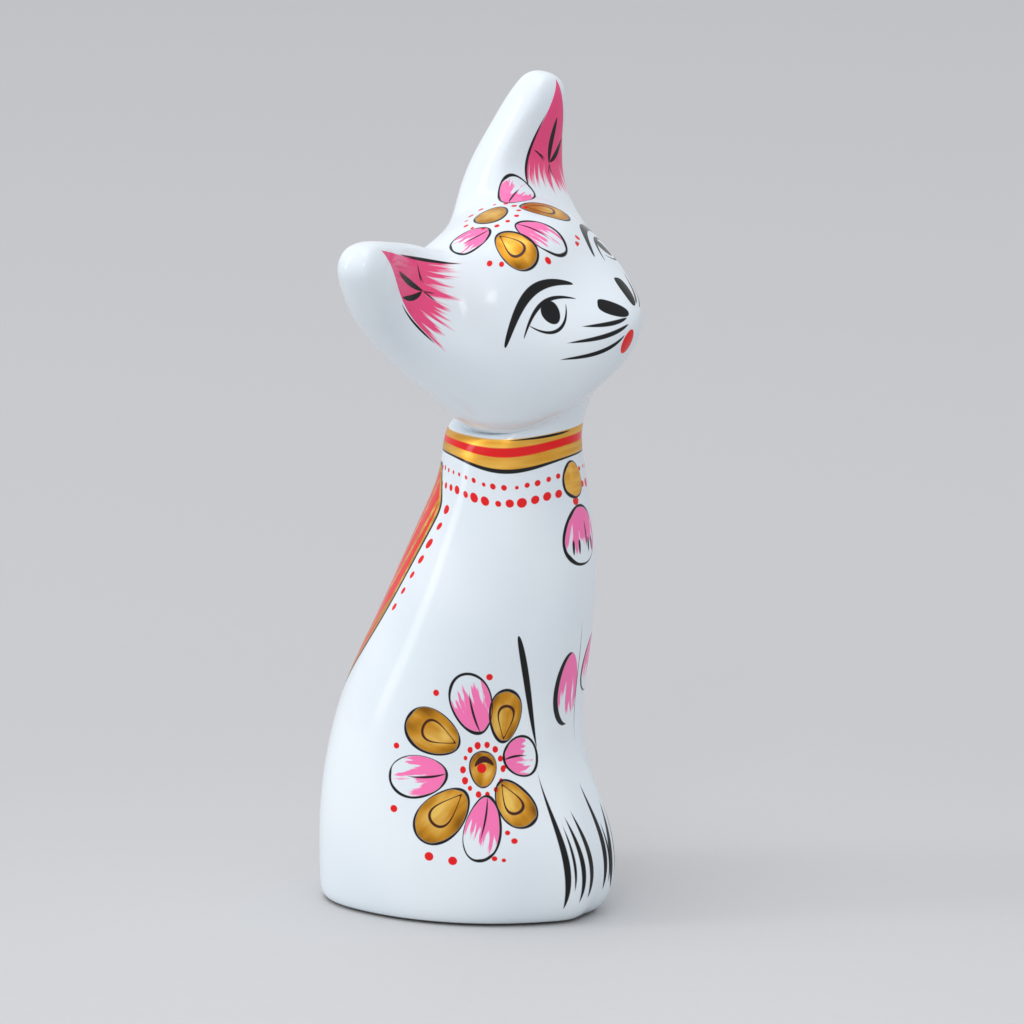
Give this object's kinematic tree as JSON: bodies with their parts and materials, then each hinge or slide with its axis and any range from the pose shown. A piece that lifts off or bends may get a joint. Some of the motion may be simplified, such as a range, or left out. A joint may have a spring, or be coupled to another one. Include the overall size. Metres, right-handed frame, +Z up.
{
  "type": "enamelled cat figurine",
  "caption": "Sitting cat figurine in cast metal, its head turned and tilted and its ears wide apart, in white enamel with painted flowers, collar and face, standing on a flat underside",
  "frame": {"origin": "in the plane of the flat underside, under the middle of the haunches and paws", "axes": "+Z is up, -Y is the way the paws and chest face, +X is the cat's left"},
  "size_m": [0.0658, 0.0623, 0.1498],
  "materials": {
    "enamel": "glossy fired enamel, white with a slight blue cast, painted in pink, gold, red and black"
  },
  "bodies": {
    "root": {"cat_figurine": "enamel"}
  },
  "joints": []
}
